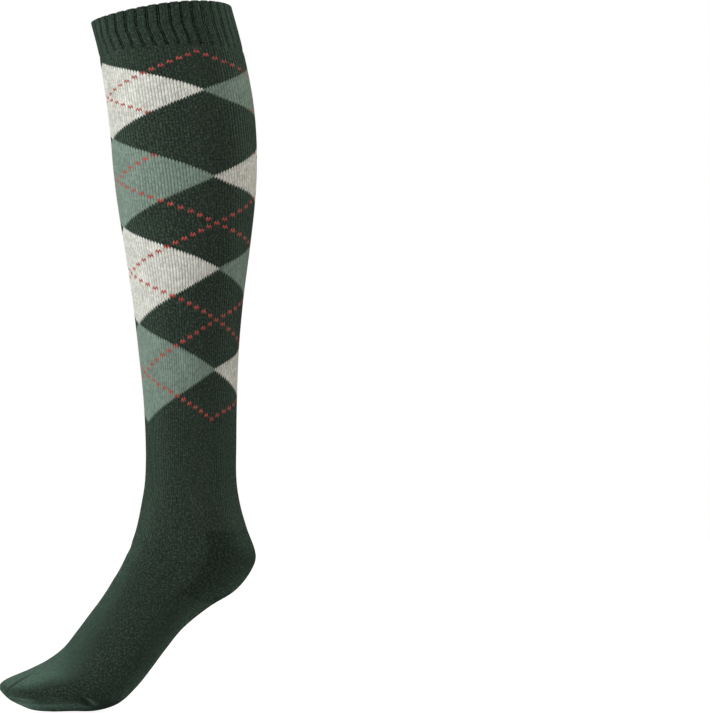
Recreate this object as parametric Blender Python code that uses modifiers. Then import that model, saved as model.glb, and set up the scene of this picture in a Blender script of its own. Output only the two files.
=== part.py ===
"""Knee-high riding sock, kept in the form that a leg and a pointed foot give it.

Metres, +Z up. The toes point to -X, the calf and heel to +X, and the outer side of the leg faces -Y.
The origin is the centre of the mouth. One smooth surface runs from the mouth to the toes through a row
of closed sections, and the cuff, leg, heel, foot and toe are stretches of it with walls of their own.
"""
import math
from collections import namedtuple

import bpy
import bmesh
from mathutils import Vector

# Driving dimensions
LEG_LENGTH = 0.410          # mouth to the bend of the ankle, straight down
LEG_SWAY = 0.0255           # how far the ankle stands behind the mouth
CALF_DEPTH = 0.1170         # shin to calf at the fullest place
CALF_WIDTH = 0.110          # side to side at the same place
ANKLE_DEPTH = 0.0718        # front to back at the narrowest place
ANKLE_WIDTH = 0.0620        # side to side at the same place
HEEL_SPAN = 0.1030          # bend of the ankle to the back of the heel
HEEL_DIP = 12.6             # degrees that this line falls towards the heel
HEEL_WIDTH = 0.0640
FOOT_LENGTH = 0.2235        # back of the heel to the tip of the toes, along the pointed foot
FOOT_SLOPE = 42.0           # degrees that the pointed foot slopes down
INSTEP_HEIGHT = 0.0690      # sole to instep at the middle of the foot
BALL_WIDTH = 0.0900         # across the toe joints

CUFF_HEIGHT = 0.0330
CUFF_WALL = 0.0024
CUFF_RIBS = 38
RIB_DEPTH = 0.0014          # how deep the furrow between two ribs is
RIB_SLANT = 0.0050          # how far the ribs lean round the leg above and below their kink
MOUTH_RISE = 0.0030         # how far the rim stands higher at the sides than on the shin and the calf
RISE_REACH = 0.0850         # how far down the leg that is felt
LEG_WALL = 0.0016
HEEL_WALL = 0.0020
FOOT_WALL = 0.0018
TOE_WALL = 0.0020
HEEL_RUN = 0.0580           # length of the heel pocket along the middle of the ankle
TOE_RUN = 0.0560            # length of the toe cap
SEAM_GAP = 0.0003           # between two pieces that meet

# How finely the surface is cut
SIDES = 40                  # faces round the plain tubes
FURROW_SHARE = 0.24         # half the width of a furrow as a share of a rib
CUFF_RINGS = (0.0, 0.12, 0.42, 0.60, 0.88, 1.0)
LEG_RINGS = 13
HEEL_RINGS = 9
FOOT_RINGS = 8
TOE_RINGS = 9
SELVEDGE = 0.0015           # narrow strip along a seam, which keeps both edges facing each other
FINE_POINTS = 60            # points of half a section before it is spaced evenly
POCKET_TURNS = (0.25, 0.75) # where the heel pocket starts and ends round the sock
TIP_BULGE = 0.0004          # how far the very tip stands out beyond the last ring

# Sections of the leg. down and back are shares of LEG_LENGTH and LEG_SWAY, tilt is in degrees,
# and full goes from the ankle's size at 0 to the calf's size at 1.
LEG_ROUNDS = (1.95, 2.05)   # powers of the shin's and the calf's curve
LegRow = namedtuple("LegRow", "down back tilt full_depth full_width")
LEG_ROWS = (
    LegRow(0.004, 0.00, 7.9, 0.90, 0.88),
    LegRow(0.070, 0.30, 3.8, 0.94, 0.92),
    LegRow(0.157, 0.58, 1.2, 0.99, 0.98),
    LegRow(0.228, 0.72, 0.7, 0.98, 1.00),
    LegRow(0.298, 0.78, 0.4, 0.94, 0.98),
    LegRow(0.367, 0.82, 0.7, 0.83, 0.90),
    LegRow(0.459, 0.86, 1.2, 0.60, 0.70),
    LegRow(0.554, 0.88, 1.5, 0.36, 0.46),
    LegRow(0.647, 0.90, 1.5, 0.19, 0.26),
    LegRow(0.741, 0.95, 1.1, 0.07, 0.10),
    LegRow(0.836, 0.98, 0.6, 0.02, 0.00),
    LegRow(0.905, 0.97, 0.0, 0.03, 0.04),
    LegRow(0.953, 0.97, -0.5, 0.17, 0.10),
    LegRow(1.000, 1.00, -0.6, 0.40, 0.14),
)

# Sections of the foot. top is the share of the way from the ankle's bend to the toes, sole the share of
# FOOT_LENGTH, crown and lift are shares of INSTEP_HEIGHT, and width is a share of HEEL_WIDTH or BALL_WIDTH.
# sway moves a section towards the big toe, belly is where it is widest from its top, and the two
# round values are the powers of its upper and lower curve.
FootRow = namedtuple("FootRow", "top crown sole lift width sway belly top_round sole_round")
HEEL_ROWS = (
    FootRow(0.078, 1.120, 0.012, 0.010, 1.08, 0.00, 0.48, 2.0, 2.0),
    FootRow(0.130, 1.065, 0.070, -0.090, 1.06, 0.00, 0.48, 2.0, 2.0),
    FootRow(0.181, 1.020, 0.157, -0.110, 1.04, 0.00, 0.50, 2.0, 2.1),
    FootRow(0.234, 0.983, 0.266, -0.020, 1.04, 0.00, 0.53, 2.0, 2.2),
    FootRow(0.297, 0.938, 0.388, 0.030, 1.06, 0.01, 0.56, 2.0, 2.3),
)
FOOT_ROWS = (
    FootRow(0.365, 0.900, 0.493, 0.005, 0.80, 0.01, 0.58, 2.0, 2.4),
    FootRow(0.436, 0.871, 0.569, -0.020, 0.86, 0.01, 0.60, 2.0, 2.5),
    FootRow(0.534, 0.826, 0.655, -0.045, 0.93, 0.02, 0.60, 2.0, 2.5),
    FootRow(0.626, 0.790, 0.741, -0.020, 0.99, 0.03, 0.60, 2.0, 2.5),
    FootRow(0.712, 0.800, 0.812, 0.105, 1.00, 0.05, 0.58, 2.1, 2.5),
    FootRow(0.784, 0.840, 0.872, 0.290, 0.94, 0.07, 0.56, 2.2, 2.4),
    FootRow(0.852, 0.900, 0.922, 0.440, 0.84, 0.10, 0.54, 2.2, 2.3),
    FootRow(0.914, 0.955, 0.961, 0.590, 0.73, 0.12, 0.52, 2.2, 2.2),
    FootRow(0.954, 0.973, 0.980, 0.728, 0.53, 0.13, 0.50, 2.1, 2.1),
    FootRow(0.973, 0.953, 0.989, 0.812, 0.31, 0.13, 0.50, 2.0, 2.0),
)

# Ridges and creases. at is the share of the whole length and round the share of the way about the
# section, from the shin over the outer side. along, across and half are lengths of the line and its half
# width in shares of BALL_WIDTH, and rise is in shares of TOE_WALL, negative for a crease.
FoldRow = namedtuple("FoldRow", "name at round along across half rise")
FOLD_ROWS = (
    FoldRow("toe ridge", 0.975, 0.05, 0.36, 0.33, 0.032, 0.70),
    FoldRow("toe notch", 0.957, 0.91, 0.02, 0.34, 0.028, -0.55),
    FoldRow("little toe crease", 0.923, 0.285, -0.04, 0.24, 0.026, -0.80),
    FoldRow("ball crease", 0.890, 0.300, 0.02, 0.20, 0.040, -0.40),
    FoldRow("instep crease", 0.690, 0.00, 0.02, 0.40, 0.060, -0.45),
    FoldRow("ankle crease", 0.742, 0.93, 0.02, 0.34, 0.055, -0.40),
)
CUFF_NECK = 0.0009          # how far the knit is drawn in just under the cuff
NECK_REACH = 0.0035         # how far down the leg this is felt

# Ribs of the cuff, in shares of its height, of the way round and of the furrow's depth
KINK_HEIGHT = 0.55
KINK_TURN = 0.10
RIM_DEPTH = 0.55
RIM_FADE = 0.10
EDGE_DEPTH = 0.35
EDGE_FADE = 0.20

# Colours and finishes
YARNS = {
    "cuff": ((0.020, 0.038, 0.029), 0.92),
    "leg": ((0.022, 0.040, 0.031), 0.90),
    "heel": ((0.019, 0.036, 0.028), 0.92),
    "foot": ((0.021, 0.039, 0.030), 0.91),
    "toe": ((0.019, 0.036, 0.028), 0.92),
}

Section = namedtuple("Section", "front back out inner belly front_round back_round")


def clear_scene():
    """Start from an empty scene."""
    for item in list(bpy.data.objects):
        bpy.data.objects.remove(item, do_unlink=True)


def new_collection(name):
    collection = bpy.data.collections.new(name)
    bpy.context.scene.collection.children.link(collection)
    return collection


def yarn(name):
    """Matt wool blend in the piece's own shade."""
    colour, roughness = YARNS[name]
    material = bpy.data.materials.new(name + "_yarn")
    material.use_nodes = True
    shader = material.node_tree.nodes["Principled BSDF"]
    shader.inputs["Base Color"].default_value = (*colour, 1.0)
    shader.inputs["Roughness"].default_value = roughness
    shader.inputs["Metallic"].default_value = 0.0
    return material


def between(low, high, share):
    return low + (high - low) * share


def leg_sections():
    """Closed sections from the mouth down to the bend of the ankle."""
    sections = []
    for row in LEG_ROWS:
        depth = between(ANKLE_DEPTH, CALF_DEPTH, row.full_depth)
        width = between(ANKLE_WIDTH, CALF_WIDTH, row.full_width)
        centre = Vector((row.back * LEG_SWAY, -row.down * LEG_LENGTH))
        tilt = math.radians(row.tilt)
        reach = Vector((math.cos(tilt), math.sin(tilt))) * depth / 2
        section = Section(centre - reach, centre + reach, width / 2, width / 2, 0.5, *LEG_ROUNDS)
        sections.append(section)
    return sections


def foot_sections(bend):
    """Closed sections that fan round the heel and run down to the tip of the toes."""
    slope = math.radians(FOOT_SLOPE)
    dip = math.radians(HEEL_DIP)
    forward = Vector((-math.cos(slope), -math.sin(slope)))
    upward = Vector((-math.sin(slope), math.cos(slope)))
    heel = bend + Vector((math.cos(dip), -math.sin(dip))) * HEEL_SPAN
    bend_along = (bend - heel).dot(forward)
    sections = []
    for rows, unit in ((HEEL_ROWS, HEEL_WIDTH), (FOOT_ROWS, BALL_WIDTH)):
        for row in rows:
            top_along = between(bend_along, FOOT_LENGTH, row.top)
            front = heel + forward * top_along + upward * row.crown * INSTEP_HEIGHT
            back = heel + forward * row.sole * FOOT_LENGTH + upward * row.lift * INSTEP_HEIGHT
            half = row.width * unit / 2
            sway = row.sway * BALL_WIDTH
            section = Section(front, back, half - sway, half + sway, row.belly, row.top_round,
                              row.sole_round)
            sections.append(section)
    return sections


def flatten(section):
    return [*section.front, *section.back, *section[2:]]


class Skin:
    """The smooth outer surface through all the sections, read by length along the sock."""

    def __init__(self):
        legs = leg_sections()
        feet = foot_sections(legs[-1].front)
        sections = legs + feet
        middles = [(section.front + section.back) / 2 for section in sections]
        self.values = [flatten(section) for section in sections]
        self.places = [0.0]
        for upper, lower in zip(middles, middles[1:]):
            self.places.append(self.places[-1] + (lower - upper).length)
        self.length = self.places[-1]
        self.ankle = self.places[len(legs) - 1]

    def slope(self, index, item):
        """Change of one value with length at a section."""
        low = max(index - 1, 0)
        high = min(index + 1, len(self.values) - 1)
        rise = self.values[high][item] - self.values[low][item]
        return rise / (self.places[high] - self.places[low])

    def section(self, place):
        """The section at a length along the sock, on a cubic through its neighbours."""
        last = len(self.places) - 2
        index = last
        while index > 0 and self.places[index] > place:
            index -= 1
        span = self.places[index + 1] - self.places[index]
        t = (place - self.places[index]) / span
        start_share = 2 * t ** 3 - 3 * t ** 2 + 1
        end_share = 3 * t ** 2 - 2 * t ** 3
        start_pull = (t ** 3 - 2 * t ** 2 + t) * span
        end_pull = (t ** 3 - t ** 2) * span
        mixed = []
        for item in range(len(self.values[0])):
            value = start_share * self.values[index][item] + end_share * self.values[index + 1][item]
            value += start_pull * self.slope(index, item) + end_pull * self.slope(index + 1, item)
            mixed.append(value)
        return Section(Vector(mixed[0:2]), Vector(mixed[2:4]), *mixed[4:])

    def pocket_share(self, length):
        """Share of the way round the sock that a length takes up beside the heel pocket."""
        middle = self.section(self.ankle + HEEL_RUN / 2)
        return length / (2 * (middle.back - middle.front).length + 2 * HEEL_WIDTH)

    def half_outline(self, section, side, half_width):
        """Half of a section from its front to its back, as fine points in its own plane."""
        span = (section.back - section.front).length
        widest = span * section.belly
        points = []
        for step in range(FINE_POINTS + 1):
            angle = math.pi * step / FINE_POINTS
            rounding = section.front_round if angle < math.pi / 2 else section.back_round
            reach = widest if angle < math.pi / 2 else span - widest
            level = abs(math.cos(angle)) ** (2 / rounding)
            if angle > math.pi / 2:
                level = -level
            bulge = math.sin(angle)
            spread = abs(bulge) ** (2 / rounding) * half_width
            points.append(Vector((widest - level * reach, side * spread)))
        return points

    def spot(self, points, share):
        """The point at a share of a fine line's length."""
        lengths = [0.0]
        for first, second in zip(points, points[1:]):
            lengths.append(lengths[-1] + (second - first).length)
        wanted = share * lengths[-1]
        index = 0
        while index < len(points) - 2 and lengths[index + 1] < wanted:
            index += 1
        gap = lengths[index + 1] - lengths[index]
        part = (wanted - lengths[index]) / gap if gap > 0 else 0.0
        return points[index].lerp(points[index + 1], part), (points[index + 1] - points[index])

    def ring(self, place, turns, heights):
        """Points round the sock at one length, each pushed out to its height along the section's normal.

        The rings near the rim stand higher at the sides.
        """
        section = self.section(place)
        rise = MOUTH_RISE * max(0.0, 1 - place / RISE_REACH)
        outer = self.half_outline(section, -1.0, section.out)
        inner = self.half_outline(section, 1.0, section.inner)
        axis = (section.back - section.front).normalized()
        points = []
        for turn, height in zip(turns, heights):
            turn = turn % 1.0
            if turn <= 0.5:
                spot, run = self.spot(outer, turn * 2)
                normal = Vector((run.y, -run.x))
            else:
                spot, run = self.spot(inner, (1 - turn) * 2)
                normal = Vector((-run.y, run.x))
            if normal.length > 0:
                spot = spot + normal.normalized() * height
            flat = section.front + axis * spot.x
            points.append(Vector((flat.x, spot.y, flat.y + rise * math.sin(2 * math.pi * turn) ** 2)))
        return points


def fold_relief(skin, place, turn):
    """Height of the ridges and creases at one place on the skin."""
    height = 0.0
    for row in FOLD_ROWS:
        down = place - row.at * skin.length
        gap = (turn - row.round + 0.5) % 1.0 - 0.5
        about = gap * 2 * (BALL_WIDTH + INSTEP_HEIGHT)
        direction = Vector((row.along, row.across)) * BALL_WIDTH
        half_line = direction.length / 2
        direction.normalize()
        lengthwise = down * direction.x + about * direction.y
        sideways = -down * direction.y + about * direction.x
        fade = max(0.0, 1 - (lengthwise / half_line) ** 2)
        height += row.rise * TOE_WALL * fade * math.exp(-(sideways / (row.half * BALL_WIDTH)) ** 2)
    return height


def neck_relief(place):
    """Draws the knit in just below the cuff."""
    return -CUFF_NECK * math.exp(-((place - CUFF_HEIGHT) / NECK_REACH) ** 2)


def plain_ring(skin, place, turns):
    """Ring of the plain knit, with its folds and the neck under the cuff."""
    heights = [neck_relief(place) + fold_relief(skin, place, turn) for turn in turns]
    return skin.ring(place, turns, heights)


def even(low, high, count):
    return [between(low, high, step / (count - 1)) for step in range(count)]


def with_selvedge(places, start, end):
    """Adds a narrow strip beside the first and the last place, where asked."""
    strips = [places[0] + SELVEDGE] if start else []
    strips += [places[-1] - SELVEDGE] if end else []
    return sorted(places + strips)


def knit_object(name, rings, wall, collection, wraps=True, missing=None, tip_at=None):
    """Loft faces through rings of points, then give the surface its wall."""
    mesh = bmesh.new()
    grid = [[mesh.verts.new(point) for point in ring] for ring in rings]
    count = len(rings[0])
    for row, (upper, lower) in enumerate(zip(grid, grid[1:])):
        for column in range(count if wraps else count - 1):
            after = (column + 1) % count
            if missing is not None and missing(row, column):
                continue
            mesh.faces.new((upper[column], lower[column], lower[after], upper[after]))
    if tip_at is not None:
        tip = mesh.verts.new(tip_at)
        for column in range(count):
            mesh.faces.new((grid[-1][column], tip, grid[-1][(column + 1) % count]))
    loose = [vertex for vertex in mesh.verts if not vertex.link_faces]
    bmesh.ops.delete(mesh, geom=loose, context="VERTS")
    data = bpy.data.meshes.new(name)
    mesh.to_mesh(data)
    mesh.free()
    data.shade_smooth()
    data.materials.append(yarn(name))
    item = bpy.data.objects.new(name, data)
    collection.objects.link(item)
    shell = item.modifiers.new("wall", "SOLIDIFY")
    shell.thickness = wall
    shell.offset = -1.0
    shell.use_even_offset = False
    return item


def rib_lean(place, turn):
    """How far round a rib has moved: it bends at half height on the shin side and is straight behind."""
    from_kink = abs(place / CUFF_HEIGHT - KINK_HEIGHT)
    shin_side = 0.5 + 0.5 * math.cos(2 * math.pi * (turn - KINK_TURN))
    return RIB_SLANT * from_kink * shin_side / (math.pi * CALF_DEPTH)


def rib_depth(place, share):
    """Depth of the furrow at a share of a rib, less at the rim and fading out at the lower edge."""
    if min(share, 1 - share) >= FURROW_SHARE / 2:
        return 0.0
    from_rim = place / CUFF_HEIGHT
    from_edge = 1 - from_rim
    return RIB_DEPTH * min(1.0, RIM_DEPTH + from_rim / RIM_FADE, EDGE_DEPTH + from_edge / EDGE_FADE)


def make_cuff(skin, collection):
    """Ribbed band with furrows between wide ribs."""
    rings = []
    for level in CUFF_RINGS:
        place = level * (CUFF_HEIGHT - SEAM_GAP)
        turns = []
        heights = []
        for rib in range(CUFF_RIBS):
            for share in (0.0, FURROW_SHARE, 1 - FURROW_SHARE):
                turn = (rib + share) / CUFF_RIBS
                turns.append(turn + rib_lean(place, turn))
                heights.append(neck_relief(place) - rib_depth(place, share))
        rings.append(skin.ring(place, turns, heights))
    return knit_object("cuff", rings, CUFF_WALL, collection)


def make_leg(skin, collection):
    turns = [side / SIDES for side in range(SIDES)]
    places = with_selvedge(even(CUFF_HEIGHT, skin.ankle, LEG_RINGS), False, True)
    rings = [plain_ring(skin, place, turns) for place in places]
    return knit_object("leg", rings, LEG_WALL, collection)


def make_heel(skin, collection):
    """Pocket across the back half of the sock between the leg and the sole."""
    margin = skin.pocket_share(SEAM_GAP)
    strip = skin.pocket_share(SELVEDGE)
    turns = even(POCKET_TURNS[0] + margin, POCKET_TURNS[1] - margin, SIDES // 2 + 1)
    turns = sorted(turns + [turns[0] + strip, turns[-1] - strip])
    places = even(skin.ankle + SEAM_GAP, skin.ankle + HEEL_RUN - SEAM_GAP, HEEL_RINGS)
    places = with_selvedge(places, True, True)
    rings = [plain_ring(skin, place, turns) for place in places]
    return knit_object("heel", rings, HEEL_WALL, collection, wraps=False)


def make_foot(skin, collection):
    """Instep and sole, cut away at the back where the heel pocket sits."""
    strip = skin.pocket_share(SELVEDGE)
    strips = [POCKET_TURNS[0] - strip, POCKET_TURNS[1] + strip]
    turns = sorted([side / SIDES for side in range(SIDES)] + strips)
    pocket_end = skin.ankle + HEEL_RUN
    pocket = with_selvedge(even(skin.ankle + SEAM_GAP, pocket_end, HEEL_RINGS), True, False)
    beyond = with_selvedge(even(pocket_end, skin.length - TOE_RUN - SEAM_GAP, FOOT_RINGS), True, True)
    rings = [plain_ring(skin, place, turns) for place in pocket + beyond[1:]]

    def cut_away(row, column):
        return row < len(pocket) - 1 and POCKET_TURNS[0] <= turns[column] < POCKET_TURNS[1]

    return knit_object("foot", rings, FOOT_WALL, collection, missing=cut_away)


def make_toe(skin, collection):
    """Closed cap over the toes."""
    turns = [side / SIDES for side in range(SIDES)]
    start = skin.length - TOE_RUN
    shares = [math.sin(math.pi / 2 * step / (TOE_RINGS - 1)) for step in range(TOE_RINGS)]
    places = with_selvedge([between(start, skin.length, share) for share in shares], True, False)
    rings = [plain_ring(skin, place, turns) for place in places]
    tip = sum(rings[-1], Vector()) / SIDES + Vector((-TIP_BULGE, 0.0, 0.0))
    return knit_object("toe", rings, TOE_WALL, collection, tip_at=tip)


def main():
    clear_scene()
    collection = new_collection("riding_sock")
    skin = Skin()
    make_cuff(skin, collection)
    make_leg(skin, collection)
    make_heel(skin, collection)
    make_foot(skin, collection)
    make_toe(skin, collection)


main()
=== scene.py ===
"""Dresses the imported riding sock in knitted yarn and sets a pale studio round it.

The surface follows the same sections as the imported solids. Every piece carries a map of its stitches,
counted in wales round the leg and in courses down it, and the yarn material draws each stitch from that.
"""
import math
from collections import namedtuple

import bpy
import numpy as np
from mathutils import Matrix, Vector


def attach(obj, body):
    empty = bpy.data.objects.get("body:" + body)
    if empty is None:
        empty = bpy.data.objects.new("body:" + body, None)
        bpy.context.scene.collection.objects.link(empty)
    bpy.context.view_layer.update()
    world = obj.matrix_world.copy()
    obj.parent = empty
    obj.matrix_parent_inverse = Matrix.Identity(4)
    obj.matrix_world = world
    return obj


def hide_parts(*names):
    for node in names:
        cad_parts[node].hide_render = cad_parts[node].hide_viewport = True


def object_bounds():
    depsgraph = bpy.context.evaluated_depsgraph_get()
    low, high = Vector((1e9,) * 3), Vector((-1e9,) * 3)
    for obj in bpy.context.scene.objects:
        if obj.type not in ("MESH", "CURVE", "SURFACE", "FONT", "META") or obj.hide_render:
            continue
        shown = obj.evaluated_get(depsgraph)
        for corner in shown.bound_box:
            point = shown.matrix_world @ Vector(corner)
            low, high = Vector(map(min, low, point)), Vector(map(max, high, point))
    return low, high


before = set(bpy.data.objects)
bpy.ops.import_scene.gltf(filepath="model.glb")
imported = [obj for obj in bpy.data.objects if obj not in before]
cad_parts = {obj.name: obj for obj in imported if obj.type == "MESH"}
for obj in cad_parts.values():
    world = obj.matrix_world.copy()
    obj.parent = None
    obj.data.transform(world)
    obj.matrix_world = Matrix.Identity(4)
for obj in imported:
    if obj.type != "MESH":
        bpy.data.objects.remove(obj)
PACKED_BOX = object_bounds()

bl_info = {
    "name": "Knitted Riding Sock",
    "version": (1, 0, 0),
    "blender": (4, 5, 0),
    "location": "View3D > Sidebar > Knitwear",
    "description": "Knits a ribbed cuff, patterned leg, heel, foot and toe over a packed sock",
    "category": "Object",
}

STITCH_MAP = "stitches"     # map on every piece: wales to the right, courses down
SHARP_ANGLE = math.radians(60)

# Points round the sock, rings of points down it, and where the rings near the cuff's two ends lie.
FINE_POINTS = 120           # points of half a section before it is spaced evenly
RIB_POINTS = 18             # points round one rib
LEG_WALE_POINTS = 4         # points round one wale
FOOT_WALE_POINTS = 2
EDGE_RINGS = 6              # rings in the cuff's rim, and as many in its lower edge
RIB_RINGS = 26              # rings between these
LEG_RINGS = 78
POCKET_RINGS = 61           # rings along the heel pocket, the same in heel and foot
FOOT_RINGS = 51
TOE_RINGS = 56
RIM_END = 0.0016            # last ring of the rim, below the mouth
RIBS_START = 0.0024         # first ring after the rim, below the mouth
RIBS_END = 0.0036           # last ring before the lower edge, above the cuff's end
HEM_START = 0.0028          # first ring of the lower edge, above the cuff's end
UNDER_CUFF = (0.0, 0.0012, 0.0024, 0.0040)      # close rings of the leg, below the cuff
LEG_START = 0.0065          # first of its even rings, below the cuff

# Ribs of the cuff. The furrow's and the strand's halves are shares of one rib from the middle of a furrow,
# and the crown's is from the middle of a rib. The strand's and the crown's rises are shares of its depth.
RIB_KINK = 0.50             # share of the cuff's height where the ribs' lean turns
KINK_TURN = 0.10            # turn from the shin where they lean most
FURROW_HALF = 0.165
FURROW_SLOPE = 0.05
STRAND_RISE = 0.7           # strand that lies in the furrow
STRAND_HALF = 0.05
CROWN_RISE = 0.25
CROWN_HALF = 0.40
STRETCH_START = 0.30        # turn from the calf where the ribs begin to be stretched flatter
STRETCH_REACH = 0.14
STRETCH_LOSS = 0.45
RIB_FADE = 0.14             # share of the cuff's height in which the ribs run out above its end
RIB_FADE_POWER = 0.7
RIM_ROUND = 0.0012          # height over which the rim is rounded
RIM_RELIEF = 0.7            # share of the ribs' relief at the very rim
RIM_WALL = 0.0001           # wall at the very rim
SCALLOP_RISE = 0.0004       # how far the ribs stand above the furrows at the rim
SCALLOP_REACH = 0.0025

# Relief of the knit.
NECK_DEPTH = 0.0011         # how far the knit draws in under the cuff
NECK_REACH = 0.0022
NECK_EVEN = 0.6             # share of that which is the same all round
WALE_POWER = 0.8
LEG_FADE = 0.04             # length above the ankle in which the relief of the wales fades out
TIP_DRAW = 0.2              # share by which the toe's last inner ring draws in
TIP_RISE = 0.0004           # how far the toe's tip stands out from its last ring

# Sections of the leg, as in the solids. down and back are shares of the leg's length and sway, tilt is in
# degrees, and full goes from the ankle's size at 0 to the calf's size at 1. LEG_SHAPE is the belly and the
# two rounds, which the table of the foot explains.
LEG_SHAPE = (0.5, 1.95, 2.05)
LegRow = namedtuple("LegRow", "down back tilt full_depth full_width")
LEG_ROWS = (
    LegRow(0.004, 0.00, 7.9, 0.90, 0.88),
    LegRow(0.070, 0.30, 3.8, 0.94, 0.92),
    LegRow(0.157, 0.58, 1.2, 0.99, 0.98),
    LegRow(0.228, 0.72, 0.7, 0.98, 1.00),
    LegRow(0.298, 0.78, 0.4, 0.94, 0.98),
    LegRow(0.367, 0.82, 0.7, 0.83, 0.90),
    LegRow(0.459, 0.86, 1.2, 0.60, 0.70),
    LegRow(0.554, 0.88, 1.5, 0.36, 0.46),
    LegRow(0.647, 0.90, 1.5, 0.19, 0.26),
    LegRow(0.741, 0.95, 1.1, 0.07, 0.10),
    LegRow(0.836, 0.98, 0.6, 0.02, 0.00),
    LegRow(0.905, 0.97, 0.0, 0.03, 0.04),
    LegRow(0.953, 0.97, -0.5, 0.17, 0.10),
    LegRow(1.000, 1.00, -0.6, 0.40, 0.14),
)

# Sections of the foot, as in the solids. top is the share of the way from the ankle's bend to the toes,
# sole the share of the foot's length, crown and lift are shares of the instep's height, and width is a
# share of the heel's or the ball's width. sway is how much of the ball's width goes over to the +Y side,
# belly is where the section is widest, from its top to its sole, and a round of 2 is an ellipse.
FootRow = namedtuple("FootRow", "top crown sole lift width sway belly top_round sole_round")
HEEL_ROWS = (
    FootRow(0.078, 1.120, 0.012, 0.010, 1.08, 0.00, 0.48, 2.0, 2.0),
    FootRow(0.130, 1.065, 0.070, -0.090, 1.06, 0.00, 0.48, 2.0, 2.0),
    FootRow(0.181, 1.020, 0.157, -0.110, 1.04, 0.00, 0.50, 2.0, 2.1),
    FootRow(0.234, 0.983, 0.266, -0.020, 1.04, 0.00, 0.53, 2.0, 2.2),
    FootRow(0.297, 0.938, 0.388, 0.030, 1.06, 0.01, 0.56, 2.0, 2.3),
)
FOOT_ROWS = (
    FootRow(0.365, 0.900, 0.493, 0.005, 0.80, 0.01, 0.58, 2.0, 2.4),
    FootRow(0.436, 0.871, 0.569, -0.020, 0.86, 0.01, 0.60, 2.0, 2.5),
    FootRow(0.534, 0.826, 0.655, -0.045, 0.93, 0.02, 0.60, 2.0, 2.5),
    FootRow(0.626, 0.790, 0.741, -0.020, 0.99, 0.03, 0.60, 2.0, 2.5),
    FootRow(0.712, 0.800, 0.812, 0.105, 1.00, 0.05, 0.58, 2.1, 2.5),
    FootRow(0.784, 0.840, 0.872, 0.290, 0.94, 0.07, 0.56, 2.2, 2.4),
    FootRow(0.852, 0.900, 0.922, 0.440, 0.84, 0.10, 0.54, 2.2, 2.3),
    FootRow(0.914, 0.955, 0.961, 0.590, 0.73, 0.12, 0.52, 2.2, 2.2),
    FootRow(0.954, 0.973, 0.980, 0.728, 0.53, 0.13, 0.50, 2.1, 2.1),
    FootRow(0.973, 0.953, 0.989, 0.812, 0.31, 0.13, 0.50, 2.0, 2.0),
)

# Ridges and creases, as in the solids. at is a share of the sock's length and round a turn from the shin.
# along, across and half, the half width, are shares of the ball's width, and rise is one of the toe's wall.
FoldRow = namedtuple("FoldRow", "name at round along across half rise")
FOLD_ROWS = (
    FoldRow("toe ridge", 0.975, 0.05, 0.36, 0.33, 0.032, 0.70),
    FoldRow("toe notch", 0.957, 0.91, 0.02, 0.34, 0.028, -0.55),
    FoldRow("little toe crease", 0.923, 0.285, -0.04, 0.24, 0.026, -0.80),
    FoldRow("ball crease", 0.890, 0.300, 0.02, 0.20, 0.040, -0.40),
    FoldRow("instep crease", 0.690, 0.00, 0.02, 0.40, 0.060, -0.45),
    FoldRow("ankle crease", 0.742, 0.93, 0.02, 0.34, 0.055, -0.40),
)

# Where the pattern's courses lie. down is a share of the leg's length. The wales creep round the leg, and
# side, shin and calf are how far they have crept there, as shares of a full turn. raised is by how many
# courses the pattern stands higher on the calf.
CourseRow = namedtuple("CourseRow", "course down side shin calf raised")
COURSE_ROWS = (
    CourseRow(-44, 0.000, 0.003, -0.006, 0.020, 2.0),
    CourseRow(0, 0.093, 0.003, -0.004, 0.023, 3.5),
    CourseRow(36, 0.163, 0.003, -0.006, 0.028, 4.5),
    CourseRow(72, 0.242, 0.006, -0.006, 0.031, 5.5),
    CourseRow(108, 0.324, 0.016, 0.002, 0.038, 5.0),
    CourseRow(144, 0.412, 0.023, 0.000, 0.046, 2.5),
    CourseRow(180, 0.498, 0.035, 0.004, 0.060, -0.5),
    CourseRow(216, 0.595, 0.038, 0.012, 0.067, -2.0),
    CourseRow(252, 0.690, 0.039, 0.020, 0.072, -2.5),
    CourseRow(288, 0.785, 0.029, 0.018, 0.066, -2.5),
    CourseRow(372, 1.000, 0.024, 0.015, 0.034, 0.0),
)
SHIN_REACH = 0.23           # turn from the shin where the side's values hold
CALF_START = 0.27           # turn from the shin where the calf's values begin
CALF_REACH = 0.17
SHIN_SAG = 1.2              # courses by which the pattern hangs lower on the shin
DOT_STEP = 3.0              # stitches from one dot of a line to the next
DIAMOND_EDGE = 0.8          # stitches by which the edges of a diamond are moved out

# Unevenness of the yarn. across and down are how often it comes in each wale and in each course.
NoiseRow = namedtuple("NoiseRow", "across down detail rough")
FIBRES = NoiseRow(2.0, 5.0, 3.0, 0.6)
CLOUDS = NoiseRow(0.12, 0.05, 2.0, 0.5)
FUZZ = NoiseRow(7.0, 6.0, 2.0, 0.7)
FLECKS = NoiseRow(1.15, 0.65, 2.0, 0.6)
FLECK_START = 0.47          # value of the noise where a fleck begins
FLECK_END = 0.72            # value where it is whole

# What each of these makes of the yarn's shade: a factor for its value, and what is added to that.
STITCH_SHADE = (0.48, 0.76)
FIBRE_SHADE = (0.90, 0.55)
CLOUD_SHADE = (0.30, 0.85)
# The wale and strand rows are painted shade: they darken the edges of each wale and strand.
WALE_PAINTED_SHADE = (0.34, 0.66)
STRAND_PAINTED_SHADE = (0.38, 0.62)
GAP_POWER = 8.0             # how narrow the gaps between the wales are
FLOAT_SHARE = 0.5           # how much of the tint of loose strands shows in them
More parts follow.
